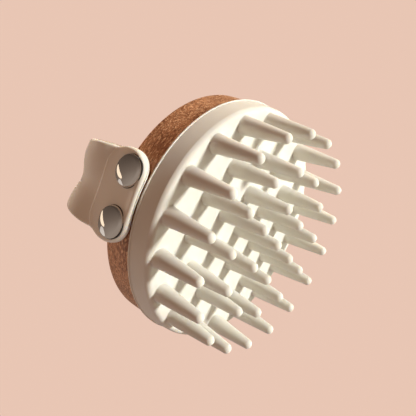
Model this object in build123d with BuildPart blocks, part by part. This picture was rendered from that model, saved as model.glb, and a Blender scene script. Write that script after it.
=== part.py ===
from build123d import *
import math
import os

os.makedirs("parts", exist_ok=True)

# A palm-held scalp massager brush. The row frame has +Z up: the brush stands on its bristle
# tips at Z = 0, and the hand strap arches over the back along X. All sizes are in millimetres.

# Driving dimensions: bristles
BRISTLE_L = 17.25           # face of the pad to the tips
ROOT_R = 3.1                # bristle radius at the pad's face
TIP_R = 1.72                # bristle radius just behind its rounded tip
TIP_ROUND = 1.55
FIRST_BRISTLE_DEG = 20.0    # every ring has a bristle at this azimuth
RINGS = {
    "bristles_inner_ring": (12.4, 6),
    "bristles_middle_ring": (24.7, 12),
    "bristles_outer_ring": (37.0, 18),
}

# Driving dimensions: silicone pad
PAD_FACE_R = 41.6           # where the side wall would meet the face if it had no rounding
PAD_WALL_R = 42.2
PAD_LIP_R = 42.5
PAD_H = 7.75                # face to lip
PAD_SHOULDER = 1.8
PAD_SKIN = 2.4
LIP_H = 0.5
LIP_COVE = 0.1              # height of the slope from the wall out to the lip
FLANGE_T = 1.6              # inward flange that is clamped under the retainer plate
FLANGE_R = 37.5
WALL_T = 2.4

# Driving dimensions: wooden body
BODY_R = 41.75
BODY_T = 11.75
BACK_ROUND = 1.2

# Driving dimensions: retainer plate and its screws
PLATE_RIM_R = 39.3
PLATE_BOSS_R = 37.3
PLATE_RIM_T = 2.5
PLATE_CHAMFER = 0.6
PLATE_SCREW_RING_R = 26.0
PLATE_SCREW_COUNT = 4
PLATE_SCREW_DEG = 45.0      # azimuth of the first plate screw
PLATE_SCREW_L = 11.5
PLATE_HEAD_R = 2.9
PLATE_HEAD_EDGE = 0.2
HEAD_INSET = 0.05
SINK_CLEAR = 0.1
SINK_DEG = 90.0
SINK_R = PLATE_HEAD_R + PLATE_HEAD_EDGE + HEAD_INSET + SINK_CLEAR

# Driving dimensions: common to both kinds of screw
SHANK_R = 1.4
POINT_L = 2.0
POINT_R = 0.2               # blunt end of the point
SLOT_L = 3.0                # cross slot in the head
SLOT_W = 0.7
SLOT_DEPTH = 0.8
PILOT_R = 1.45
PILOT_EXTRA = 0.5           # pilot holes run this far past the screw's point
CLEAR_R = 1.7

# Driving dimensions: strap
STRAP_T = 2.6
STRAP_IN_R = 41.9           # the ends wrap the wood at this radius
STRAP_HALF_W = 11.8
END_HALF_W = 14.4
END_H = 16.6                # height of the end plates along Z
END_CORNER = 7.6
END_GAP = 0.3               # from the pad's lip to the free edge
NECK_HALF_W = 13.1          # half width where the band rises from the end plate
SHOULDER_R = 20.0           # outer radius of the bend over the back
SHOULDER_Z = 18.3           # bend's centre above the lip plane
SHOULDER_DEG = 82.0         # turn of each shoulder; the crown's flat arc does the rest
LOFT_DEG = 12.0             # where the wrapped section has become flat
FIXED_Z = 12.6              # the ends stop following the wood this far above the lip plane
CROWN_Z = 30.0              # the crown piece starts this far above the lip plane

# Driving dimensions: strap screws and their domed caps
CAP_HALF_PITCH = 7.85
CAP_Z = 6.3                 # above the lip plane
CAP_R = 4.95
CAP_SEAT_R = 5.05
CAP_FLOOR_X = 42.4
CAP_SKIRT = 1.4
CAP_DOME_H = 2.3
CAP_WALL = 0.5
DOME_R = (CAP_R**2 + CAP_DOME_H**2) / (2 * CAP_DOME_H)
WASHER_R = 4.2
WASHER_T = 0.8
WASHER_CHAMFER = 0.3
STRAP_HEAD_R = 2.6
STRAP_HEAD_H = 1.4
STRAP_HEAD_CHAMFER = 0.5
STRAP_SCREW_L = 12.0

# Levels
FACE_Z = BRISTLE_L
LIP_Z = FACE_Z + PAD_H
BACK_Z = LIP_Z + BODY_T
STRAP_OUT_R = STRAP_IN_R + STRAP_T
STRAP_EDGE_Z = LIP_Z + END_GAP
END_TOP_Z = STRAP_EDGE_Z + END_H
SPLIT_Z = LIP_Z + FIXED_Z
CROWN_START_Z = LIP_Z + CROWN_Z
SHOULDER_CX = STRAP_OUT_R - SHOULDER_R
SHOULDER_CZ = LIP_Z + SHOULDER_Z
CROWN_R = SHOULDER_R + SHOULDER_CX / math.cos(math.radians(SHOULDER_DEG))
CROWN_CZ = SHOULDER_CZ - (CROWN_R - SHOULDER_R) * math.sin(math.radians(SHOULDER_DEG))
CAP_CENTRE_Z = LIP_Z + CAP_Z
PLATE_BOTTOM_Z = LIP_Z - FLANGE_T - PLATE_RIM_T


def save(part, name):
    """Labels a finished piece and writes its STEP file."""
    part.label = name
    export_step(part, f"parts/{name}.step")


# Silicone pad: a shallow cup with a flat working face below and an inward flange on top.
with BuildPart() as bristle_pad:
    with BuildSketch(Plane.XZ):
        with BuildLine():
            Polyline(
                (0, FACE_Z),
                (PAD_FACE_R, FACE_Z),
                (PAD_WALL_R, LIP_Z - LIP_H - LIP_COVE),
                (PAD_LIP_R, LIP_Z - LIP_H),
                (PAD_LIP_R, LIP_Z),
                (FLANGE_R, LIP_Z),
                (FLANGE_R, LIP_Z - FLANGE_T),
                (PAD_WALL_R - WALL_T, LIP_Z - FLANGE_T),
                (PAD_FACE_R - WALL_T, FACE_Z + PAD_SKIN),
                (0, FACE_Z + PAD_SKIN),
                close=True,
            )
        make_face()
    revolve(axis=Axis.Z)
    face_rim = bristle_pad.edges().filter_by(GeomType.CIRCLE).group_by(Axis.Z)[0]
    fillet(face_rim, radius=PAD_SHOULDER)
save(bristle_pad.part, "bristle_pad")

# Bristles: tapered round fingers with rounded tips, one in the middle and three rings around it.
with BuildPart() as bristle:
    with BuildSketch(Plane.XZ):
        with BuildLine():
            Polyline((0, 0), (TIP_R, 0), (ROOT_R, FACE_Z), (0, FACE_Z), close=True)
        face = make_face()
        fillet(face.vertices().group_by(Axis.Y)[0].sort_by(Axis.X)[-1], radius=TIP_ROUND)
    revolve(axis=Axis.Z)

with BuildPart() as bristle_centre:
    add(bristle.part)
save(bristle_centre.part, "bristle_centre")

for ring_name, (ring_r, ring_count) in RINGS.items():
    with BuildPart() as bristle_ring:
        with PolarLocations(ring_r, ring_count, start_angle=FIRST_BRISTLE_DEG):
            add(bristle.part)
    save(bristle_ring.part, ring_name)

# Wooden body: a turned disc, drilled from below for the plate and from two sides for the strap.
with BuildPart() as wood_body:
    with BuildSketch(Plane.XY.offset(LIP_Z)):
        Circle(BODY_R)
    extrude(amount=BODY_T)
    fillet(wood_body.edges().group_by(Axis.Z)[-1], radius=BACK_ROUND)
    with BuildSketch(Plane.XY.offset(LIP_Z)):
        with PolarLocations(PLATE_SCREW_RING_R, PLATE_SCREW_COUNT, start_angle=PLATE_SCREW_DEG):
            Circle(PILOT_R)
    extrude(amount=PLATE_SCREW_L - PLATE_RIM_T - FLANGE_T + PILOT_EXTRA, mode=Mode.SUBTRACT)
    for side in (1, -1):
        with BuildSketch(Plane.YZ.offset(side * (CAP_FLOOR_X - STRAP_SCREW_L - PILOT_EXTRA))):
            with Locations((CAP_HALF_PITCH, CAP_CENTRE_Z), (-CAP_HALF_PITCH, CAP_CENTRE_Z)):
                Circle(PILOT_R)
        extrude(amount=side * (STRAP_SCREW_L + PILOT_EXTRA), mode=Mode.SUBTRACT)
save(wood_body.part, "wood_body")

# Retainer plate: its boss bears on the wood, and its rim holds the pad's flange.
with BuildPart() as retainer_plate:
    with BuildSketch(Plane.XY.offset(PLATE_BOTTOM_Z)):
        Circle(PLATE_RIM_R)
    extrude(amount=PLATE_RIM_T)
    with BuildSketch(Plane.XY.offset(PLATE_BOTTOM_Z + PLATE_RIM_T)):
        Circle(PLATE_BOSS_R)
    extrude(amount=FLANGE_T)
    chamfer(retainer_plate.edges().group_by(Axis.Z)[0], length=PLATE_CHAMFER)
    with Locations(retainer_plate.faces().sort_by(Axis.Z)[0]):
        with PolarLocations(PLATE_SCREW_RING_R, PLATE_SCREW_COUNT, start_angle=PLATE_SCREW_DEG):
            CounterSinkHole(radius=CLEAR_R, counter_sink_radius=SINK_R, counter_sink_angle=SINK_DEG)
save(retainer_plate.part, "retainer_plate")

# Countersunk plate screws, heads down, points up in the wood.
with BuildPart() as plate_screw:
    with BuildSketch(Plane.XZ):
        with BuildLine():
            Polyline(
                (0, 0),
                (PLATE_HEAD_R, 0),
                (PLATE_HEAD_R, PLATE_HEAD_EDGE),
                (SHANK_R, PLATE_HEAD_EDGE + PLATE_HEAD_R - SHANK_R),
                (SHANK_R, PLATE_SCREW_L - POINT_L),
                (POINT_R, PLATE_SCREW_L),
                (0, PLATE_SCREW_L),
                close=True,
            )
        make_face()
    revolve(axis=Axis.Z)
    with BuildSketch(Plane.XY):
        Rectangle(SLOT_L, SLOT_W)
        Rectangle(SLOT_W, SLOT_L)
    extrude(amount=SLOT_DEPTH, mode=Mode.SUBTRACT)

with BuildPart() as plate_screws:
    with Locations((0, 0, PLATE_BOTTOM_Z + HEAD_INSET)):
        with PolarLocations(PLATE_SCREW_RING_R, PLATE_SCREW_COUNT, start_angle=PLATE_SCREW_DEG):
            add(plate_screw.part)
save(plate_screws.part, "plate_screws")


def end_outline(low, high):
    """The strap end seen along X, between two heights: a rounded plate with the strap rising from it."""
    with Locations((0, (STRAP_EDGE_Z + END_TOP_Z) / 2)):
        RectangleRounded(2 * END_HALF_W, END_H, END_CORNER)
    with Locations((0, END_TOP_Z - END_CORNER)):
        Rectangle(2 * NECK_HALF_W, END_CORNER, align=(Align.CENTER, Align.MIN))
    with Locations((0, (low + high) / 2)):
        Rectangle(2 * BODY_R, high - low, mode=Mode.INTERSECT)


def wrapped_shell(low, high):
    """The part of the strap end that follows the wood's side, between two heights."""
    with BuildSketch(Plane.XY.offset(low)) as around_wood:
        Circle(STRAP_OUT_R)
        Circle(STRAP_IN_R, mode=Mode.SUBTRACT)
    extrude(around_wood.sketch, amount=high - low)
    with BuildSketch(Plane.YZ) as outline:
        end_outline(low, high)
    extrude(outline.sketch, amount=2 * STRAP_OUT_R, mode=Mode.INTERSECT)


# Strap ends: each lies against the wood's side and carries the seats of two screw caps.
with BuildPart() as strap_end_right:
    wrapped_shell(STRAP_EDGE_Z, SPLIT_Z)
    with BuildSketch(Plane.YZ.offset(CAP_FLOOR_X)):
        with Locations((CAP_HALF_PITCH, CAP_CENTRE_Z), (-CAP_HALF_PITCH, CAP_CENTRE_Z)):
            Circle(CAP_SEAT_R)
    extrude(amount=STRAP_T, mode=Mode.SUBTRACT)
    with BuildSketch(Plane.YZ):
        with Locations((CAP_HALF_PITCH, CAP_CENTRE_Z), (-CAP_HALF_PITCH, CAP_CENTRE_Z)):
            Circle(CLEAR_R)
    extrude(amount=2 * STRAP_OUT_R, mode=Mode.SUBTRACT)
save(strap_end_right.part, "strap_end_right")

with BuildPart() as strap_end_left:
    add(mirror(strap_end_right.part, about=Plane.YZ))
save(strap_end_left.part, "strap_end_left")

# Strap arch: two shoulders joined by a nearly flat crown, as one band seen along Y.
with BuildPart() as arch:
    with BuildSketch(Plane.XZ):
        with BuildLine():
            for inset in (0, STRAP_T):
                bend_r = SHOULDER_R - inset
                CenterArc((SHOULDER_CX, SHOULDER_CZ), bend_r, 0, SHOULDER_DEG)
                CenterArc((0, CROWN_CZ), CROWN_R - inset, SHOULDER_DEG, 180 - 2 * SHOULDER_DEG)
                CenterArc((-SHOULDER_CX, SHOULDER_CZ), bend_r, 180 - SHOULDER_DEG, SHOULDER_DEG)
            for side in (1, -1):
                Line((side * STRAP_OUT_R, SHOULDER_CZ), (side * STRAP_IN_R, SHOULDER_CZ))
        make_face()
    extrude(amount=STRAP_HALF_W, both=True)

with BuildPart() as strap_crown:
    add(arch.part)
    split(bisect_by=Plane.XY.offset(CROWN_START_Z), keep=Keep.TOP)
save(strap_crown.part, "strap_crown")

# Strap flanks: the stretches between the fixed ends and the crown, which give when the strap is loaded.
BEND_MID_R = SHOULDER_R - STRAP_T / 2
LOFT_RAD = math.radians(LOFT_DEG)
loft_top = Plane(
    origin=(
        SHOULDER_CX + BEND_MID_R * math.cos(LOFT_RAD),
        0,
        SHOULDER_CZ + BEND_MID_R * math.sin(LOFT_RAD),
    ),
    x_dir=(math.cos(LOFT_RAD), 0, math.sin(LOFT_RAD)),
    z_dir=(-math.sin(LOFT_RAD), 0, math.cos(LOFT_RAD)),
)
with BuildPart() as flank_arch:
    add(arch.part)
    split(bisect_by=Plane.YZ, keep=Keep.TOP)
    split(bisect_by=Plane.XY.offset(CROWN_START_Z), keep=Keep.BOTTOM)
    split(bisect_by=loft_top, keep=Keep.TOP)

with BuildPart() as strap_flank_right:
    wrapped_shell(SPLIT_Z, END_TOP_Z)
    with BuildSketch(Plane.XY.offset(END_TOP_Z)):
        Circle(STRAP_OUT_R)
        Circle(STRAP_IN_R, mode=Mode.SUBTRACT)
        with Locations((STRAP_IN_R, 0)):
            Rectangle(2 * SHOULDER_R, 2 * NECK_HALF_W, mode=Mode.INTERSECT)
    with BuildSketch(loft_top):
        Rectangle(STRAP_T, 2 * STRAP_HALF_W)
    loft()
    add(flank_arch.part)
save(strap_flank_right.part, "strap_flank_right")

with BuildPart() as strap_flank_left:
    add(mirror(strap_flank_right.part, about=Plane.YZ))
save(strap_flank_left.part, "strap_flank_left")

# Hardware of one strap end, made pointing along +Z from the cap seat's floor.
with BuildPart() as cap_washer:
    with BuildSketch():
        Circle(WASHER_R)
        Circle(CLEAR_R, mode=Mode.SUBTRACT)
    extrude(amount=WASHER_T)
    chamfer(cap_washer.edges().group_by(Axis.Z)[-1].sort_by(SortBy.RADIUS)[-1], length=WASHER_CHAMFER)

with BuildPart() as strap_screw:
    with BuildSketch(Plane.XZ):
        with BuildLine():
            Polyline(
                (0, WASHER_T + STRAP_HEAD_H),
                (STRAP_HEAD_R - STRAP_HEAD_CHAMFER, WASHER_T + STRAP_HEAD_H),
                (STRAP_HEAD_R, WASHER_T + STRAP_HEAD_H - STRAP_HEAD_CHAMFER),
                (STRAP_HEAD_R, WASHER_T),
                (SHANK_R, WASHER_T),
                (SHANK_R, WASHER_T + POINT_L - STRAP_SCREW_L),
                (POINT_R, WASHER_T - STRAP_SCREW_L),
                (0, WASHER_T - STRAP_SCREW_L),
                close=True,
            )
        make_face()
    revolve(axis=Axis.Z)
    with BuildSketch(Plane.XY.offset(WASHER_T + STRAP_HEAD_H)):
        Rectangle(SLOT_L, SLOT_W)
        Rectangle(SLOT_W, SLOT_L)
    extrude(amount=-SLOT_DEPTH, mode=Mode.SUBTRACT)

with BuildPart() as dome_cap:
    for inset, mode in ((0, Mode.ADD), (CAP_WALL, Mode.SUBTRACT)):
        dome_r = DOME_R - inset
        skirt_r = CAP_R - inset
        top_z = CAP_SKIRT + CAP_DOME_H - inset
        edge_z = top_z - dome_r + math.sqrt(dome_r**2 - skirt_r**2)
        with BuildSketch(Plane.XZ):
            with BuildLine():
                Polyline((0, top_z), (0, 0), (skirt_r, 0), (skirt_r, edge_z))
                RadiusArc((skirt_r, edge_z), (0, top_z), -dome_r)
            make_face()
        revolve(axis=Axis.Z, mode=mode)

HARDWARE = {"cap_washers": cap_washer, "strap_screws": strap_screw, "dome_caps": dome_cap}
for side_name, side in (("right", 1), ("left", -1)):
    for node, piece in HARDWARE.items():
        with BuildPart() as pair:
            with Locations(
                (side * CAP_FLOOR_X, CAP_HALF_PITCH, CAP_CENTRE_Z),
                (side * CAP_FLOOR_X, -CAP_HALF_PITCH, CAP_CENTRE_Z),
            ):
                add(piece.part, rotation=(0, side * 90, 0))
        save(pair.part, f"{node}_{side_name}")
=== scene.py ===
import bmesh
import bpy
import math
from mathutils import Matrix, Vector
from mathutils.geometry import delaunay_2d_cdt


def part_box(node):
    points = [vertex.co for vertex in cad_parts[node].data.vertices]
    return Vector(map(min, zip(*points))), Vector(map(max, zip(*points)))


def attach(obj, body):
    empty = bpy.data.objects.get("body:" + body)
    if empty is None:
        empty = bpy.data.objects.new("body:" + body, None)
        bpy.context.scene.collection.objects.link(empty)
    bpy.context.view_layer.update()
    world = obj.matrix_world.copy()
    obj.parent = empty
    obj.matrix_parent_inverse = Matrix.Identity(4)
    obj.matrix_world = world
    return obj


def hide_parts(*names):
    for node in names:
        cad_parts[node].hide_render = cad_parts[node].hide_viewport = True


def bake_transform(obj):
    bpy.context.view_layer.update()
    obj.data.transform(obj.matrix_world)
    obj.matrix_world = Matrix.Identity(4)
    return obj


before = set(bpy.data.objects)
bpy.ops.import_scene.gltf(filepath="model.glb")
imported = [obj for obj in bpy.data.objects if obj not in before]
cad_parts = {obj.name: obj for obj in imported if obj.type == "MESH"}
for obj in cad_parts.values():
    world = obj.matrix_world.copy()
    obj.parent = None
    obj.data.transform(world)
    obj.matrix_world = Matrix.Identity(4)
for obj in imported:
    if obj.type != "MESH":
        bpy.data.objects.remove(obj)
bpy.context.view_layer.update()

# A scalp massager brush, standing on its bristle tips. Metres, in the row frame: +Z up, X along the strap.
MM = 0.001
AXIS_R = 1e-7               # a radius under this is on the axis
MERGE_R = 1e-7              # points closer than this are one point
BRUSH = "brush"

# Levels and radii from the frame
pad_low, pad_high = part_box("bristle_pad")
wood_low, wood_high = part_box("wood_body")
FACE_Z = pad_low.z
LIP_Z = pad_high.z
BACK_Z = wood_high.z
END_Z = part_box("strap_end_right")[0].z
LIP_R = (pad_high.x - pad_low.x) / 2
WOOD_R = (wood_high.x - wood_low.x) / 2

# Bristles: one in the middle and three rings, all with a bristle at the same azimuth
RINGS = ((0.0, 1), (12.4 * MM, 6), (24.7 * MM, 12), (37.0 * MM, 18))
FIRST_BRISTLE = math.radians(20)
ROOT_R = 3.1 * MM
TIP_R = 1.72 * MM
ROOT_FILLET = 0.25 * MM
BRISTLE_SEGMENTS = 40
FILLET_STEPS = 5
TAPER_STEPS = 8
TIP_STEPS = 9
ROOT_LIFT_FADE = 2 * MM     # on the shoulder a bristle's root follows the face this far down

# Pad: outer form
SHOULDER = 1.8 * MM
WALL_FACE_R = 41.6 * MM
WALL_LIP_R = 42.18 * MM
LIP_H = 0.5 * MM
LIP_CORNER = 0.12 * MM
LIP_COVE = 0.06 * MM
RIM_SEGMENTS = 320

# Pad: inward flange and hollow
PAD_SKIN = 2.4 * MM
FLANGE_R = 37.5 * MM
FLANGE_T = 1.6 * MM
FLANGE_EDGE = 0.2 * MM
HOLLOW_MID_R = 20 * MM

# Pad: the face's triangles, fine at the shoulder and coarse inside
FIELD_DEG = 78              # the triangles reach this far round the shoulder
FINE_RINGS = 15
FINE_GAP = 0.35 * MM
FINE_STEP = 0.7 * MM
COARSE_GAP = 1.3 * MM
COARSE_STEP = 1.4 * MM
ROOT_CLEARANCE = 0.28 * MM
HOLE_TEST = 0.985           # triangles with their centre inside this share of a root's radius are left out


def arc(centre, radius, start, end, count):
    """Points of an arc in a profile's plane, angles in degrees."""
    steps = [start + (end - start) * i / count for i in range(count + 1)]
    return [
        (centre[0] + radius * math.cos(math.radians(a)), centre[1] + radius * math.sin(math.radians(a)))
        for a in steps
    ]


def new_piece(name, verts, faces, material):
    """A smooth-shaded mesh object from plain lists."""
    mesh = bpy.data.meshes.new(name)
    mesh.from_pydata([tuple(v) for v in verts], [], faces)
    mesh.validate()
    mesh.update()
    return piece_from_mesh(name, mesh, material)


def piece_from_mesh(name, mesh, material):
    """A smooth-shaded object with one material, linked to the scene."""
    mesh.shade_smooth()
    mesh.materials.append(material)
    piece = bpy.data.objects.new(name, mesh)
    bpy.context.scene.collection.objects.link(piece)
    return piece


def lathe(profile, segments, place=Matrix.Identity(4)):
    """Turns a profile of (radius, height) points about Z. A point on the axis becomes a single vertex."""
    verts, faces, rings = [], [], []
    for r, z in profile:
        if r < AXIS_R:
            rings.append([len(verts)] * segments)
            verts.append(place @ Vector((0, 0, z)))
        else:
            rings.append(list(range(len(verts), len(verts) + segments)))
            for k in range(segments):
                a = 2 * math.pi * k / segments
                verts.append(place @ Vector((r * math.cos(a), r * math.sin(a), z)))
    for low, high in zip(rings, rings[1:]):
        for k in range(segments):
            n = (k + 1) % segments
            corners = [low[k], low[n], high[n], high[k]]
            faces.append(list(dict.fromkeys(corners)))
    return verts, [f for f in faces if len(f) > 2]


# Materials

# Colour sockets of the Mix node
MIX_UNDER = 6
MIX_OVER = 7
MIX_RESULT = 2

# Colours, linear
PAD_LIGHT = (0.66, 0.64, 0.585)
PAD_DARK = (0.63, 0.605, 0.55)
# The strap is the pad's silicone painted 15 % lighter: painted light, standing in for light from above that
# falls on the strap.
STRAP_LIGHT = (0.76, 0.735, 0.67)
STRAP_DARK = (0.73, 0.705, 0.64)
WOOD_DARK = (0.27, 0.105, 0.045)
WOOD_MID = (0.42, 0.185, 0.088)
WOOD_LIGHT = (0.55, 0.26, 0.13)
WOOD_FLECK = (0.90, 0.57, 0.34)
WOOD_PORE = (0.17, 0.062, 0.026)
CHROME_TINT = (0.80, 0.78, 0.75)
ZINC_TINT = (0.55, 0.55, 0.56)
ABS_LIGHT = (0.72, 0.70, 0.65)
ABS_DARK = (0.68, 0.66, 0.61)
# Near-black collar colour: partly the washer's own, partly painted shade of the crevice round each dome.
NYLON_LIGHT = (0.045, 0.042, 0.04)
NYLON_DARK = (0.035, 0.032, 0.03)


def nodes_of(name):
    """A new material with a single principled shader."""
    material = bpy.data.materials.new(name)
    material.use_nodes = True
    tree = material.node_tree
    tree.nodes.clear()
    out = tree.nodes.new("ShaderNodeOutputMaterial")
    shader = tree.nodes.new("ShaderNodeBsdfPrincipled")
    tree.links.new(shader.outputs[0], out.inputs[0])
    return material, tree, shader


def noise(tree, scale, detail=3.0, roughness=0.5, stretch=(1, 1, 1)):
    """Noise in object coordinates. Scale is in cycles per metre."""
    coords = tree.nodes.new("ShaderNodeTexCoord")
    mapping = tree.nodes.new("ShaderNodeMapping")
    mapping.inputs["Scale"].default_value = stretch
    texture = tree.nodes.new("ShaderNodeTexNoise")
    texture.inputs["Scale"].default_value = scale
    texture.inputs["Detail"].default_value = detail
    texture.inputs["Roughness"].default_value = roughness
    tree.links.new(coords.outputs["Object"], mapping.inputs["Vector"])
    tree.links.new(mapping.outputs[0], texture.inputs["Vector"])
    return texture.outputs["Fac"]


def ramp(tree, factor, stops):
    """A colour ramp with stops of (position, colour)."""
    node = tree.nodes.new("ShaderNodeValToRGB")
    elements = node.color_ramp.elements
    while len(elements) < len(stops):
        elements.new(0.5)
    for element, (position, colour) in zip(elements, stops):
        element.position = position
        element.color = (*colour, 1)
    tree.links.new(factor, node.inputs[0])
    return node.outputs[0]


def remap(tree, factor, low, high, out_low, out_high):
    """A factor stretched from one range to another, and clamped there."""
    node = tree.nodes.new("ShaderNodeMapRange")
    node.inputs["From Min"].default_value = low
    node.inputs["From Max"].default_value = high
    node.inputs["To Min"].default_value = out_low
    node.inputs["To Max"].default_value = out_high
    tree.links.new(factor, node.inputs[0])
    return node.outputs[0]


def mixed(tree, factor, under, over):
    """The colour over, laid on the colour under by a factor."""
    node = tree.nodes.new("ShaderNodeMix")
    node.data_type = "RGBA"
    tree.links.new(factor, node.inputs["Factor"])
    tree.links.new(under, node.inputs[MIX_UNDER])
    node.inputs[MIX_OVER].default_value = (*over, 1)
    return node.outputs[MIX_RESULT]


def bump(tree, shader, height, strength, distance):
    """Relief in the shader's normal. Distance is the depth of the relief."""
    node = tree.nodes.new("ShaderNodeBump")
    node.inputs["Strength"].default_value = strength
    node.inputs["Distance"].default_value = distance
    tree.links.new(height, node.inputs["Height"])
    tree.links.new(node.outputs[0], shader.inputs["Normal"])


def silicone(name, light, dark):
    """Matte moulded silicone: a faint mottle, slightly uneven gloss and a fine moulded skin."""
    material, tree, shader = nodes_of(name)
    colour = ramp(tree, noise(tree, scale=90, detail=2), [(0.3, dark), (0.7, light)])
    tree.links.new(colour, shader.inputs["Base Color"])
    gloss = remap(tree, noise(tree, scale=400, detail=3), 0.3, 0.7, 0.46, 0.58)
    tree.links.new(gloss, shader.inputs["Roughness"])
    shader.inputs["IOR"].default_value = 1.41
    shader.inputs["Subsurface Weight"].default_value = 0.25
    shader.inputs["Subsurface Radius"].default_value = (1.0, 0.75, 0.45)
    shader.inputs["Subsurface Scale"].default_value = 0.9 * MM
    shader.inputs["Sheen Weight"].default_value = 0.06
    bump(tree, shader, noise(tree, scale=9000, detail=2), strength=0.12, distance=0.02 * MM)
    return material


def hardwood():
    """Oiled reddish-brown wood with its grain along Y: growth bands, fibres, light flecks and open pores."""
    material, tree, shader = nodes_of("hardwood")
    bands = ramp(
        tree,
        noise(tree, scale=110, detail=4, roughness=0.55, stretch=(1, 0.08, 1)),
        [(0.38, WOOD_DARK), (0.5, WOOD_MID), (0.62, WOOD_LIGHT)],
    )
    fibres = noise(tree, scale=2000, detail=3, roughness=0.65, stretch=(1, 0.07, 1))
    colour = mixed(tree, remap(tree, fibres, 0.51, 0.60, 0, 0.75), bands, WOOD_FLECK)
    pores = noise(tree, scale=1600, detail=2, roughness=0.6, stretch=(1, 0.05, 1))
    colour = mixed(tree, remap(tree, pores, 0.52, 0.61, 0, 0.7), colour, WOOD_PORE)
    tree.links.new(colour, shader.inputs["Base Color"])
    tree.links.new(remap(tree, fibres, 0.35, 0.65, 0.34, 0.52), shader.inputs["Roughness"])
    bump(tree, shader, fibres, strength=1.0, distance=0.3 * MM)
    return material


def metal(name, colour, rough_low, rough_high, scale):
    """Metal whose gloss varies slightly."""
    material, tree, shader = nodes_of(name)
    shader.inputs["Base Color"].default_value = (*colour, 1)
    shader.inputs["Metallic"].default_value = 1.0
    gloss = remap(tree, noise(tree, scale, detail=2), 0.35, 0.65, rough_low, rough_high)
    tree.links.new(gloss, shader.inputs["Roughness"])
    return material


def plastic(name, light, dark, roughness):
    """Moulded plastic with a faint mottle and a fine skin."""
    material, tree, shader = nodes_of(name)
    colour = ramp(tree, noise(tree, scale=200, detail=2), [(0.3, dark), (0.7, light)])
    tree.links.new(colour, shader.inputs["Base Color"])
    shader.inputs["Roughness"].default_value = roughness
    bump(tree, shader, noise(tree, scale=5000, detail=2), strength=0.1, distance=0.02 * MM)
    return material


PAD_SILICONE = silicone("pad_silicone", PAD_LIGHT, PAD_DARK)
# Painted light: the strap's copy of the pad silicone is painted lighter, standing in for light from above on
# the strap.
STRAP_SILICONE = silicone("strap_silicone", STRAP_LIGHT, STRAP_DARK)
HARDWOOD = hardwood()
CHROME = metal("polished_chrome", CHROME_TINT, rough_low=0.03, rough_high=0.07, scale=300)
STEEL = metal("zinc_steel", ZINC_TINT, rough_low=0.28, rough_high=0.40, scale=900)
ABS = plastic("moulded_abs", ABS_LIGHT, ABS_DARK, roughness=0.5)
# The collars' near-black is partly painted shade: their edge shows as the shaded crevice round each dome.
NYLON = plastic("dark_nylon_and_gap_shade", NYLON_LIGHT, NYLON_DARK, roughness=0.45)


# Pad and bristles: one silicone moulding

SHOULDER_START_R = WALL_FACE_R - SHOULDER
FIELD_R = SHOULDER_START_R + SHOULDER * math.sin(math.radians(FIELD_DEG))


def face_level(r):
    """Height of the pad's face and its rounded shoulder at a radius."""
    past = max(0.0, r - SHOULDER_START_R)
    return FACE_Z + SHOULDER - math.sqrt(SHOULDER**2 - past**2)


def bristle_places():
    """Centres of the bristles, in the plane of the face."""
    for ring_r, count in RINGS:
        for k in range(count):
            a = FIRST_BRISTLE + 2 * math.pi * k / count
            yield Vector((ring_r * math.cos(a), ring_r * math.sin(a)))


def bristle_profile():
    """(radius, depth below the face): a ring on the face, the root fillet, the taper and the round tip."""
    length = FACE_Z
    lean = math.acos(TIP_R / math.hypot(ROOT_R, length - TIP_R)) - math.atan2(length - TIP_R, ROOT_R)
    tip_centre = length - TIP_R
    points = [(ROOT_R + ROOT_FILLET, 0.0)]
    for i in range(1, FILLET_STEPS + 1):
        a = math.radians(90 * i / FILLET_STEPS)
        depth = ROOT_FILLET * (1 - math.cos(a))
        points.append((ROOT_R + ROOT_FILLET * (1 - math.sin(a)) - depth * math.tan(lean), depth))
    taper_end = tip_centre + TIP_R * math.sin(lean)
    start_r, start_depth = points[-1]
    end_r = TIP_R * math.cos(lean)
    for i in range(1, TAPER_STEPS + 1):
        t = i / TAPER_STEPS
        points.append((start_r + (end_r - start_r) * t, start_depth + (taper_end - start_depth) * t))
    for i in range(1, TIP_STEPS + 1):
        a = lean + (math.pi / 2 - lean) * i / TIP_STEPS
        points.append((TIP_R * math.cos(a), tip_centre + TIP_R * math.sin(a)))
    points[-1] = (0.0, length)
    return points


def pad_field_points(hole_r, places):
    """2-D points of the face around the bristles: fine rings at the shoulder, coarser ones inside."""
    radii = [FIELD_R - FINE_GAP * i for i in range(1, FINE_RINGS + 1)]
    while radii[-1] > 2 * MM:
        radii.append(radii[-1] - COARSE_GAP)
    points = []
    for index, r in enumerate(radii):
        step = FINE_STEP if index < FINE_RINGS else COARSE_STEP
        count = max(8, int(2 * math.pi * r / step))
        for k in range(count):
            a = 2 * math.pi * (k + 0.5 * (index % 2)) / count
            p = Vector((r * math.cos(a), r * math.sin(a)))
            if all((p - q).length > hole_r + ROOT_CLEARANCE for q in places):
                points.append(p)
    return points


def circle(radius, count):
    """Points of a circle round the origin, in a plane."""
    angles = [2 * math.pi * k / count for k in range(count)]
    return [Vector((radius * math.cos(a), radius * math.sin(a))) for a in angles]


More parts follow.
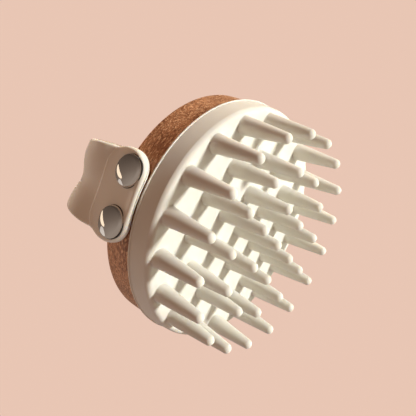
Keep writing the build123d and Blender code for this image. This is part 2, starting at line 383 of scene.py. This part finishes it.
def field_mesh(bm, places, hole_r):
    """The face with a round hole for each bristle. Gives the vertex loops of the rim and of the holes."""
    flat = circle(FIELD_R, RIM_SEGMENTS)
    loops = [list(range(RIM_SEGMENTS))]
    for place in places:
        first = len(flat)
        for k in range(BRISTLE_SEGMENTS):
            a = 2 * math.pi * k / BRISTLE_SEGMENTS
            flat.append(place + hole_r * Vector((math.cos(a), math.sin(a))))
        loops.append(list(range(first, first + BRISTLE_SEGMENTS)))
    flat += pad_field_points(hole_r, places)
    edges = [(loop[i], loop[(i + 1) % len(loop)]) for loop in loops for i in range(len(loop))]
    out_points, _, triangles, origin, _, _ = delaunay_2d_cdt(flat, edges, [], 0, MERGE_R)
    index_of = {source: i for i, sources in enumerate(origin) for source in sources}
    field = [bm.verts.new((p.x, p.y, face_level(p.length))) for p in out_points]
    for triangle in triangles:
        centre = sum((Vector(out_points[i]) for i in triangle), Vector((0, 0))) / 3
        if all((centre - q).length > hole_r * HOLE_TEST for q in places):
            bm.faces.new([field[i] for i in reversed(triangle)])
    return [[field[index_of[i]] for i in loop] for loop in loops]


def add_bristle(bm, place, ring, profile):
    """A bristle that grows out of a hole's ring of vertices."""
    for r, depth in profile[1:]:
        if r == 0.0:
            tip = bm.verts.new((place.x, place.y, FACE_Z - depth))
            for k in range(BRISTLE_SEGMENTS):
                bm.faces.new((ring[(k + 1) % BRISTLE_SEGMENTS], ring[k], tip))
            break
        fade = max(0.0, 1 - depth / ROOT_LIFT_FADE)
        following = []
        for k in range(BRISTLE_SEGMENTS):
            a = 2 * math.pi * k / BRISTLE_SEGMENTS
            p = place + r * Vector((math.cos(a), math.sin(a)))
            lift = (face_level(p.length) - FACE_Z) * fade
            following.append(bm.verts.new((p.x, p.y, FACE_Z - depth + lift)))
        for k in range(BRISTLE_SEGMENTS):
            n = (k + 1) % BRISTLE_SEGMENTS
            bm.faces.new((ring[n], ring[k], following[k], following[n]))
        ring = following


def cup_profile():
    """(radius, height) of the shoulder's end, side wall, lip, flange and the hollow behind the face."""
    lip_low = LIP_Z - LIP_H
    flange_z = LIP_Z - FLANGE_T
    shoulder_end_deg = -3
    outer = arc((SHOULDER_START_R, FACE_Z + SHOULDER), SHOULDER, -90 + FIELD_DEG, shoulder_end_deg, 5)[1:]
    wall_start = outer[-1][1]
    wall_end = lip_low - LIP_COVE
    outer += [
        (WALL_FACE_R + (WALL_LIP_R - WALL_FACE_R) * t, wall_start + (wall_end - wall_start) * t)
        for t in (0.33, 0.66, 0.97, 1.0)
    ]
    outer += [(WALL_LIP_R + 0.02 * MM, lip_low - 0.01 * MM), (WALL_LIP_R + LIP_COVE, lip_low)]
    outer += arc((LIP_R - LIP_CORNER, lip_low + LIP_CORNER), LIP_CORNER, -90, 0, 4)
    outer += arc((LIP_R - LIP_CORNER, LIP_Z - LIP_CORNER), LIP_CORNER, 0, 90, 4)
    inner = [
        (38.0 * MM, LIP_Z),
        (FLANGE_R, LIP_Z - FLANGE_EDGE),
        (FLANGE_R, LIP_Z - 1.4 * MM),
        (37.7 * MM, flange_z),
        (WALL_LIP_R - PAD_SKIN, flange_z),
        (WALL_FACE_R - PAD_SKIN - 0.3 * MM, FACE_Z + PAD_SKIN + 0.8 * MM),
        (WALL_FACE_R - PAD_SKIN - 1.1 * MM, FACE_Z + PAD_SKIN),
        (HOLLOW_MID_R, FACE_Z + PAD_SKIN),
        (0.0, FACE_Z + PAD_SKIN),
    ]
    return outer + inner


def add_cup(bm, ring):
    """The wall, lip, flange and hollow, from the face's outer ring of vertices."""
    for r, z in cup_profile():
        if r == 0.0:
            centre = bm.verts.new((0, 0, z))
            for k in range(RIM_SEGMENTS):
                bm.faces.new((ring[k], ring[(k + 1) % RIM_SEGMENTS], centre))
            break
        following = [bm.verts.new((p.x, p.y, z)) for p in circle(r, RIM_SEGMENTS)]
        for k in range(RIM_SEGMENTS):
            n = (k + 1) % RIM_SEGMENTS
            bm.faces.new((ring[k], ring[n], following[n], following[k]))
        ring = following


def make_pad():
    places = list(bristle_places())
    profile = bristle_profile()
    bm = bmesh.new()
    rings = field_mesh(bm, places, profile[0][0])
    for place, ring in zip(places, rings[1:]):
        add_bristle(bm, place, ring, profile)
    add_cup(bm, rings[0])
    bmesh.ops.recalc_face_normals(bm, faces=bm.faces)
    mesh = bpy.data.meshes.new("pad_moulding")
    bm.to_mesh(mesh)
    bm.free()
    pad = piece_from_mesh("pad_moulding", mesh, PAD_SILICONE)
    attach(pad, BRUSH)
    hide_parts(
        "bristle_pad",
        "bristle_centre",
        "bristles_inner_ring",
        "bristles_middle_ring",
        "bristles_outer_ring",
    )


# Wooden back

WOOD_FRONT_EDGE = 1.2 * MM
WOOD_BACK_EDGE = 1.3 * MM
WOOD_SEGMENTS = 256


def make_wood():
    front, back = WOOD_FRONT_EDGE, WOOD_BACK_EDGE
    profile = [(0.0, LIP_Z), (20 * MM, LIP_Z)]
    profile += arc((WOOD_R - front, LIP_Z + front), front, -90, 0, 5)
    profile += [(WOOD_R, LIP_Z + (BACK_Z - LIP_Z) * t) for t in (0.3, 0.6)]
    profile += arc((WOOD_R - back, BACK_Z - back), back, 0, 90, 10)
    profile += [(WOOD_R * t, BACK_Z) for t in (0.9, 0.7, 0.4, 0.0)]
    verts, faces = lathe(profile, WOOD_SEGMENTS)
    wood = new_piece("wood_back", verts, faces, HARDWOOD)
    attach(wood, BRUSH)
    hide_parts("wood_body")


# Strap: a developed band, wrapped round the wood at its ends and bent into an arch over the back

# Section and outline
STRAP_T = 2.6 * MM
PLATE_EDGE = 1.3 * MM       # rounding of the end plates' edges
BAND_EDGE = 0.8 * MM        # rounding of the band's edges
STRAP_HALF_W = 11.8 * MM
END_HALF_W = 14.4 * MM
END_H = 16.6 * MM
END_CORNER = 7.6 * MM
NECK_HALF_W = 13.1 * MM
NECK_BLEND = 1.6 * MM

# Path of the middle surface: straight at the ends, a bend at each shoulder and a flat arc between them
STRAP_MID_R = 41.9 * MM + STRAP_T / 2
SHOULDER_MID_R = 20.0 * MM - STRAP_T / 2
SHOULDER_CX = STRAP_MID_R - SHOULDER_MID_R
SHOULDER_CZ = LIP_Z + 18.3 * MM
SHOULDER_TURN = math.radians(82)
CROWN_MID_R = SHOULDER_MID_R + SHOULDER_CX / math.cos(SHOULDER_TURN)
CROWN_CZ = SHOULDER_CZ - (CROWN_MID_R - SHOULDER_MID_R) * math.sin(SHOULDER_TURN)
STRAIGHT = SHOULDER_CZ - END_Z
SHOULDER_LENGTH = SHOULDER_MID_R * SHOULDER_TURN
HALF_LENGTH = STRAIGHT + SHOULDER_LENGTH + CROWN_MID_R * (math.pi / 2 - SHOULDER_TURN)

# Soft shape of the band, and the step from the flat end plate down to it
CURL_R = 110 * MM           # radius of the hollow across the bend
BULGE = 1.1 * MM            # the bend stands out by this
DIMPLE = 1.3 * MM
DIMPLE_S = -1.0 * MM
DIMPLE_W = 3.2 * MM
EASE = 0.6 * MM             # one edge of the bend lies lower by this
SWAY = 0.8 * MM             # one edge of the band wanders by this
SWAY_HALF = 12 * MM
PLATE_X = 43.8 * MM
PLATE_RIM = 0.45            # share of the plate's flat shape that is kept at its lowest edge
STEP_H = 0.45 * MM
STEP_W = 0.7 * MM

# Where those change, as lengths from the strap's end: (start, end)
RIM_SPAN = (0.5 * MM, 3.5 * MM)
STEP_SPAN = (8.5 * MM, 10.5 * MM)
SWAY_SPAN = (10 * MM, 42 * MM)
EDGE_SPAN = (12 * MM, 19 * MM)
WRAP_SPAN = (13 * MM, 22 * MM)
NECK_SPAN = (13 * MM, 32 * MM)
BULGE_START = (15 * MM, 26 * MM)
HOLLOW_START = (17 * MM, 27 * MM)
PLATE_SPAN = (18 * MM, 30 * MM)
BULGE_END = (34 * MM, 54 * MM)
HOLLOW_END = (36 * MM, 54 * MM)
EASE_SPAN = (6.5 * MM, 12 * MM)     # across the strap

# Mesh of the strap
CELL = 0.25 * MM
COLUMNS = 120
END_ROWS = 20
FINE_ROW = CELL * 0.96
FINE_ROWS_END = 18 * MM
ROW_GROWTH = 0.08
ROW_GROWTH_MAX = 0.9 * MM
EDGE_STEPS = 6
STRAIGHT_CURL = 1e-6        # a curvature under this is flat
PROBE = 0.01 * MM


def smooth(x, low, high):
    """Turns softly from 0 at low to 1 at high."""
    t = min(1.0, max(0.0, (x - low) / (high - low)))
    return t * t * (3 - 2 * t)


def from_end(t):
    """Length to the nearer end of the strap."""
    return min(t, 2 * HALF_LENGTH - t)


def strap_path(t):
    """Point and outward direction in the XZ plane, at a length t from the strap's right end."""
    mirrored = t > HALF_LENGTH
    t = from_end(t)
    if t < STRAIGHT:
        x, z, nx, nz = STRAP_MID_R, END_Z + t, 1.0, 0.0
    elif t < STRAIGHT + SHOULDER_LENGTH:
        a = (t - STRAIGHT) / SHOULDER_MID_R
        nx, nz = math.cos(a), math.sin(a)
        x, z = SHOULDER_CX + SHOULDER_MID_R * nx, SHOULDER_CZ + SHOULDER_MID_R * nz
    else:
        a = SHOULDER_TURN + (t - STRAIGHT - SHOULDER_LENGTH) / CROWN_MID_R
        nx, nz = math.cos(a), math.sin(a)
        x, z = CROWN_MID_R * nx, CROWN_CZ + CROWN_MID_R * nz
    return (-x, z, -nx, nz) if mirrored else (x, z, nx, nz)


def strap_curl(t):
    """Curvature across the strap: that of the wood at the ends, hollow over the bend."""
    near = from_end(t)
    wrapped = 1 - smooth(near, *WRAP_SPAN)
    bend = smooth(near, *HOLLOW_START) * (1 - smooth(near, *HOLLOW_END))
    return wrapped / STRAP_MID_R - bend / CURL_R


def bend_shift(s, t):
    """The soft bend of the band: it bulges out, has a shallow dimple and eases at one edge."""
    near = from_end(t)
    bend = smooth(near, *BULGE_START) * (1 - smooth(near, *BULGE_END))
    dimple = DIMPLE * math.exp(-(((s - DIMPLE_S) / DIMPLE_W) ** 2) / 2)
    ease = EASE * smooth(s, *EASE_SPAN)
    return bend * (BULGE - dimple - ease)


def strap_point(s, t, n):
    """The developed point s across, t along and n out of the strap's middle surface, in the row frame."""
    x, z, nx, nz = strap_path(t)
    n += bend_shift(s, t)
    curl = strap_curl(t)
    if abs(curl) < STRAIGHT_CURL:
        across, sunk, turn = s, 0.0, 0.0
    else:
        turn = s * curl
        across, sunk = math.sin(turn) / curl, (1 - math.cos(turn)) / curl
    out = -sunk + n * math.cos(turn)
    across += SWAY * smooth(from_end(t), *SWAY_SPAN) * smooth(-s, -SWAY_HALF, SWAY_HALF)
    return Vector((x + nx * out, across + n * math.sin(turn), z + nz * out))


def plate_distance(s, t):
    """Signed distance, negative inside, to the rounded plate at the strap's end."""
    qx = abs(s) - (END_HALF_W - END_CORNER)
    qy = abs(t - END_H / 2) - (END_H / 2 - END_CORNER)
    outside = math.hypot(max(qx, 0.0), max(qy, 0.0))
    return outside + min(max(qx, qy), 0.0) - END_CORNER


def edge_radius(t):
    """Rounding of the strap's edges: full at the plates, small along the band."""
    return PLATE_EDGE + (BAND_EDGE - PLATE_EDGE) * smooth(from_end(t), *EDGE_SPAN)


def half_width(t, inset):
    """Half the strap's width at a length from its end, with the outline moved in by inset."""
    corner = END_CORNER - inset
    low, high = END_CORNER, END_H - END_CORNER
    off = max(low - t, t - high, 0.0)
    plate = END_HALF_W - END_CORNER + math.sqrt(max(corner**2 - off**2, 0.0))
    if t < END_CORNER:
        return plate
    if off > corner:
        plate = 0.0
    band = STRAP_HALF_W - inset + (NECK_HALF_W - STRAP_HALF_W) * (1 - smooth(t, *NECK_SPAN))
    h = max(0.0, NECK_BLEND - abs(plate - band)) / NECK_BLEND
    return max(plate, band) + h * h * NECK_BLEND / 4


def strap_rows():
    """Lengths along the strap: close together at the rounded ends and the step, wider over the arch."""
    corner = END_CORNER - PLATE_EDGE
    rows = [PLATE_EDGE + corner * (1 - math.cos(math.pi / 2 * i / END_ROWS)) for i in range(END_ROWS)]
    t = END_CORNER
    while t < FINE_ROWS_END:
        rows.append(t)
        t += FINE_ROW
    while t < HALF_LENGTH:
        rows.append(t)
        t += CELL + min(ROW_GROWTH_MAX, (t - FINE_ROWS_END) * ROW_GROWTH)
    rows.append(HALF_LENGTH)
    return rows + [2 * HALF_LENGTH - t for t in reversed(rows[:-1])]


def snap_to_step(s, t):
    """Moves a point of the grid that lies next to the plate's outline to one side of the step there."""
    near = from_end(t)
    gap = plate_distance(s, near)
    if min(abs(gap - STEP_W / 2), abs(gap + STEP_W / 2)) > CELL / 2 or near < END_H / 2:
        return s, t
    ds = (plate_distance(s + PROBE, near) - gap) / PROBE
    dt = (plate_distance(s, near + PROBE) - gap) / PROBE
    move = math.copysign(STEP_W / 2, gap) - gap
    return s + ds * move, t + (dt if t < HALF_LENGTH else -dt) * move


def outer_relief(s, t):
    """Outward shift of the outer skin: flat over the end plate, with a small step down to the band."""
    near = from_end(t)
    gap = plate_distance(s, near)
    start = smooth(near, *STEP_SPAN)
    level = PLATE_X - STEP_H * start * smooth(gap, -STEP_W / 2, STEP_W / 2)
    flat = level / math.cos(s / STRAP_MID_R) - STRAP_MID_R - STRAP_T / 2
    rim = PLATE_RIM + (1 - PLATE_RIM) * smooth(near, *RIM_SPAN)
    return flat * rim * (1 - smooth(near, *PLATE_SPAN))


def make_strap():
    rows = strap_rows()
    half_t = STRAP_T / 2
    verts, faces = [], []
    grid = [
        [(half_width(from_end(t), edge_radius(t)) * (2 * j / COLUMNS - 1), t) for j in range(COLUMNS + 1)]
        for t in rows
    ]
    last = len(rows) - 1
    for skin in (1, -1):
        first = len(verts)
        for i, row in enumerate(grid):
            for j, (s, t) in enumerate(row):
                if skin > 0 and 0 < j < COLUMNS:
                    s, t = snap_to_step(s, t)
                n = half_t + outer_relief(s, t) if skin > 0 else -half_t
                verts.append(strap_point(s, t, n))
        for i in range(last):
            for j in range(COLUMNS):
                a = first + i * (COLUMNS + 1) + j
                quad = [a, a + 1, a + COLUMNS + 2, a + COLUMNS + 1]
                faces.append(quad if skin > 0 else quad[::-1])
    inner_first = len(grid) * (COLUMNS + 1)

    # Rounded edge, from the outer skin's boundary round to the inner skin's
    loop = [(0, j) for j in range(COLUMNS)]
    loop += [(i, COLUMNS) for i in range(last)]
    loop += [(last, j) for j in range(COLUMNS, 0, -1)]
    loop += [(i, 0) for i in range(last, 0, -1)]
    flat = [Vector(grid[i][j]) for i, j in loop]
    count = len(flat)
    outward = []
    for k in range(count):
        tangent = flat[(k + 1) % count] - flat[k - 1]
        outward.append(Vector((tangent.y, -tangent.x)).normalized())
    quarter = [math.pi / 2 * i / EDGE_STEPS for i in range(EDGE_STEPS + 1)]
    ring = [i * (COLUMNS + 1) + j for i, j in loop]
    for a, side in [(a, 1) for a in quarter[1:]] + [(math.pi - a, -1) for a in reversed(quarter[1:])]:
        following = []
        for k, p in enumerate(flat):
            edge = edge_radius(p.y)
            q = p + outward[k] * edge * math.sin(a)
            n = side * (half_t - edge) + edge * math.cos(a)
            following.append(len(verts))
            verts.append(strap_point(q.x, q.y, n + outer_relief(p.x, p.y) * max(0.0, math.cos(a))))
        for k in range(count):
            m = (k + 1) % count
            faces.append([ring[m], ring[k], following[k], following[m]])
        ring = following
    inner = [inner_first + i * (COLUMNS + 1) + j for i, j in loop]
    for k in range(count):
        m = (k + 1) % count
        faces.append([ring[m], ring[k], inner[k], inner[m]])

    strap = new_piece("hand_strap", verts, faces, STRAP_SILICONE)
    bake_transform(strap)
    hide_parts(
        "strap_end_right", "strap_end_left", "strap_flank_right", "strap_flank_left", "strap_crown"
    )


# Domed caps and the snap washers under them

CAP_HALF_PITCH = 7.85 * MM
CAP_Z = LIP_Z + 6.3 * MM
CAP_R = 4.95 * MM
CAP_TOP = 3.8 * MM
CAP_CROWN_R = 10.5 * MM
CAP_BEND_R = 1.25 * MM
CAP_LIP_H = 0.35 * MM
CAP_STEEPEST_DEG = 86
CAP_LIP_EDGE = 0.12 * MM
CAP_SEGMENTS = 96
COLLAR_BORE_R = 1.7 * MM
COLLAR_R = 5.13 * MM
COLLAR_H = 1.5 * MM
COLLAR_EDGE = 0.12 * MM
COLLAR_BEVEL = 0.1 * MM
COLLAR_DISH_R = 4.4 * MM


def cap_profile():
    """(radius, height over the seat), from the turned-in lip, round the bend, to the top of the flat dome."""
    slope = math.degrees(math.asin((CAP_R - CAP_BEND_R) / (CAP_CROWN_R - CAP_BEND_R)))
    bend_z = CAP_TOP - CAP_CROWN_R + (CAP_CROWN_R - CAP_BEND_R) * math.cos(math.radians(slope))
    bend = arc((CAP_R - CAP_BEND_R, bend_z), CAP_BEND_R, 90 - CAP_STEEPEST_DEG, 90 - slope, 14)
    dome = arc((0.0, CAP_TOP - CAP_CROWN_R), CAP_CROWN_R, 90 - slope, 90, 20)
    low = bend[0][1] - CAP_LIP_H
    profile = [(CAP_R - 0.5 * MM, low + 0.1 * MM), (CAP_R - CAP_LIP_EDGE, low), (CAP_R, low + CAP_LIP_EDGE)]
    profile += bend + dome[1:]
    profile[-1] = (0.0, CAP_TOP)
    return profile


def make_caps():
    for side_name, side in (("right", 1), ("left", -1)):
        low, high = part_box(f"dome_caps_{side_name}")
        seat_x = low.x if side > 0 else high.x
        turn = Matrix.Rotation(math.radians(90 * side), 4, "Y")
        verts, faces, ring_verts, ring_faces = [], [], [], []
        for y in (CAP_HALF_PITCH, -CAP_HALF_PITCH):
            place = Matrix.Translation((seat_x, y, CAP_Z)) @ turn
            for profile, into_verts, into_faces in (
                (cap_profile(), verts, faces),
                (collar_profile(), ring_verts, ring_faces),
            ):
                v, f = lathe(profile, CAP_SEGMENTS, place)
                first = len(into_verts)
                into_verts += v
                into_faces += [[first + i for i in face] for face in f]
        caps = new_piece(f"chrome_caps_{side_name}", verts, faces, CHROME)
        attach(caps, BRUSH)
        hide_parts(f"dome_caps_{side_name}")
        # The collar's near-black edge round each dome is partly painted shade of the crevice there.
        collars = new_piece(f"cap_collars_{side_name}", ring_verts, ring_faces, NYLON)
        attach(collars, BRUSH)
        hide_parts(f"cap_washers_{side_name}")


def collar_profile():
    """The snap washer under a cap: a low near-black dish whose edge shows as a thin line round the dome; the
    near-black is partly the washer's own colour and partly painted shade of the crevice under the dome.
    """
    return [
        (COLLAR_BORE_R, 0.0),
        (COLLAR_R - COLLAR_EDGE, 0.0),
        (COLLAR_R, COLLAR_EDGE),
        (COLLAR_R, COLLAR_H - COLLAR_BEVEL),
        (COLLAR_R - COLLAR_BEVEL, COLLAR_H),
        (COLLAR_DISH_R, COLLAR_H),
        (COLLAR_BORE_R, COLLAR_H),
        (COLLAR_BORE_R, 0.0),
    ]


def finish_inner_nodes():
    """The pieces inside keep their CAD shapes."""
    for node, material in (
        ("retainer_plate", ABS),
        ("plate_screws", STEEL),
        ("strap_screws_right", STEEL),
        ("strap_screws_left", STEEL),
    ):
        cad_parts[node].data.materials.clear()
        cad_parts[node].data.materials.append(material)


# Stage

CAMERA_AT = Vector((134.8, 21.1, -67.0)) * MM
CAMERA_FORWARD = Vector((-0.7976, -0.1162, 0.5918))
CAMERA_UP = Vector((0.1207, 0.9307, 0.3454))
CAMERA_SENSOR = 36
CAMERA_LENS = 40.09

# Area lights: name, direction from the object, distance, (width, height), power, colour, shown in mirrors
LIGHT_AIM = Vector((0, 0, 0.02))
LIGHTS = (
    ("key", (-0.137, 0.512, -0.848), 0.9, (0.14, 0.14), 12.6, (0.97, 1.0, 0.95), False),
    ("back_fill", (-0.85, 0.1, -0.5), 1.2, (1.4, 1.4), 11.5, (0.88, 1.0, 0.84), False),
    ("side_fill", (0.0, -1.0, 0.0), 1.2, (1.4, 1.4), 3.2, (0.88, 0.95, 1.0), False),
    ("top_fill", (-0.62, 0.1, 0.78), 1.2, (1.0, 1.0), 10.8, (1.0, 0.88, 0.81), False),
    ("step_light", (0.08, 0.0, 1.0), 1.2, (0.5, 0.5), 6.0, (1.0, 0.85, 0.75), False),
    ("wood_sheen", (-0.25, 0.78, 0.50), 1.1, (0.3, 0.3), 9.0, (1.0, 0.82, 0.62), False),
    ("strip", (0.36, -0.24, 0.88), 1.1, (0.22, 0.8), 0.5, (1.0, 0.80, 0.60), True),
    ("crescent", (0.26, -0.60, 0.74), 1.1, (0.6, 0.42), 0.32, (1.0, 0.96, 0.92), True),
)

# Surroundings: the plain background, the light of the room, and what mirrors show from low to high
BACKGROUND = (0.810, 0.565, 0.456)
ROOM_LIGHT = (0.327, 0.194, 0.131)
MIRROR_UP = (0.0, 0.8, 0.6)
MIRROR_SPAN = (-0.35, 0.85)
MIRROR_ROOM = [(0.0, (0.34, 0.275, 0.23)), (0.45, (0.195, 0.147, 0.118)), (1.0, (0.085, 0.060, 0.046))]

FLOOR_R = 0.75
FLOOR_SEGMENTS = 128
FLOOR_PAINT = (0.60, 0.50, 0.44)


def make_camera():
    """The view is from below the bristle tips, on the side of the right strap end."""
    forward = CAMERA_FORWARD.normalized()
    right = forward.cross(CAMERA_UP).normalized()
    up = right.cross(forward)
    data = bpy.data.cameras.new("camera")
    data.sensor_width = CAMERA_SENSOR
    data.lens = CAMERA_LENS
    data.clip_start = 0.005
    data.clip_end = 20
    camera = bpy.data.objects.new("camera", data)
    turn = Matrix((right, up, -forward)).transposed().to_4x4()
    camera.matrix_world = Matrix.Translation(CAMERA_AT) @ turn
    bpy.context.scene.collection.objects.link(camera)
    bpy.context.scene.camera = camera


def area_light(name, towards, distance, size, power, colour, in_mirrors):
    """A soft light at a distance from the object, in the direction given. Cameras don't see it."""
    data = bpy.data.lights.new(name, "AREA")
    data.shape = "ELLIPSE"
    data.size, data.size_y = size
    data.energy = power
    data.color = colour
    light = bpy.data.objects.new(name, data)
    direction = Vector(towards).normalized()
    light.matrix_world = (
        Matrix.Translation(LIGHT_AIM + direction * distance)
        @ direction.to_track_quat("Z", "Y").to_matrix().to_4x4()
    )
    light.visible_camera = False
    light.visible_glossy = in_mirrors
    bpy.context.scene.collection.objects.link(light)


def make_lights():
    """The key light comes from below the bristles. The fills are large, dim and all round."""
    for light in LIGHTS:
        area_light(*light)


def make_world():
    """Plain background for the camera, a dim warm room for diffuse light, and a darker one in reflections."""
    world = bpy.data.worlds.new("studio")
    bpy.context.scene.world = world
    world.use_nodes = True
    tree = world.node_tree
    tree.nodes.clear()
    coords = tree.nodes.new("ShaderNodeTexCoord")
    across = tree.nodes.new("ShaderNodeVectorMath")
    across.operation = "DOT_PRODUCT"
    across.inputs[1].default_value = MIRROR_UP
    tree.links.new(coords.outputs["Generated"], across.inputs[0])
    room = ramp(tree, remap(tree, across.outputs["Value"], *MIRROR_SPAN, 0, 1), MIRROR_ROOM)
    path = tree.nodes.new("ShaderNodeLightPath")
    shader = None
    for ray, colour in (
        (None, ROOM_LIGHT),
        ("Is Glossy Ray", room),
        ("Is Camera Ray", BACKGROUND),
    ):
        background = tree.nodes.new("ShaderNodeBackground")
        if colour is room:
            tree.links.new(room, background.inputs[0])
        else:
            background.inputs[0].default_value = (*colour, 1)
        if ray is None:
            shader = background.outputs[0]
            continue
        mix = tree.nodes.new("ShaderNodeMixShader")
        tree.links.new(path.outputs[ray], mix.inputs[0])
        tree.links.new(shader, mix.inputs[1])
        tree.links.new(background.outputs[0], mix.inputs[2])
        shader = mix.outputs[0]
    out = tree.nodes.new("ShaderNodeOutputWorld")
    tree.links.new(shader, out.inputs[0])


def make_floor():
    """A pale floor under the bristle tips. It is see-through from below, where the camera is."""
    material = bpy.data.materials.new("pale_floor")
    material.use_nodes = True
    tree = material.node_tree
    tree.nodes.clear()
    out = tree.nodes.new("ShaderNodeOutputMaterial")
    mix = tree.nodes.new("ShaderNodeMixShader")
    side = tree.nodes.new("ShaderNodeNewGeometry")
    clear = tree.nodes.new("ShaderNodeBsdfTransparent")
    paint = tree.nodes.new("ShaderNodeBsdfDiffuse")
    paint.inputs[0].default_value = (*FLOOR_PAINT, 1)
    tree.links.new(side.outputs["Backfacing"], mix.inputs[0])
    tree.links.new(paint.outputs[0], mix.inputs[1])
    tree.links.new(clear.outputs[0], mix.inputs[2])
    tree.links.new(mix.outputs[0], out.inputs[0])
    verts, faces = lathe([(FLOOR_R, 0.0), (0.0, 0.0)], FLOOR_SEGMENTS)
    mesh = bpy.data.meshes.new("floor")
    mesh.from_pydata([tuple(v) for v in verts], [], faces)
    mesh.materials.append(material)
    floor = bpy.data.objects.new("floor", mesh)
    floor.visible_shadow = False
    floor.visible_diffuse = False
    floor.visible_glossy = False
    bpy.context.scene.collection.objects.link(floor)


bpy.context.scene.view_settings.view_transform = "Standard"
make_camera()
make_world()
make_lights()
make_floor()
make_pad()
make_wood()
make_strap()
make_caps()
finish_inner_nodes()

bpy.context.view_layer.update()
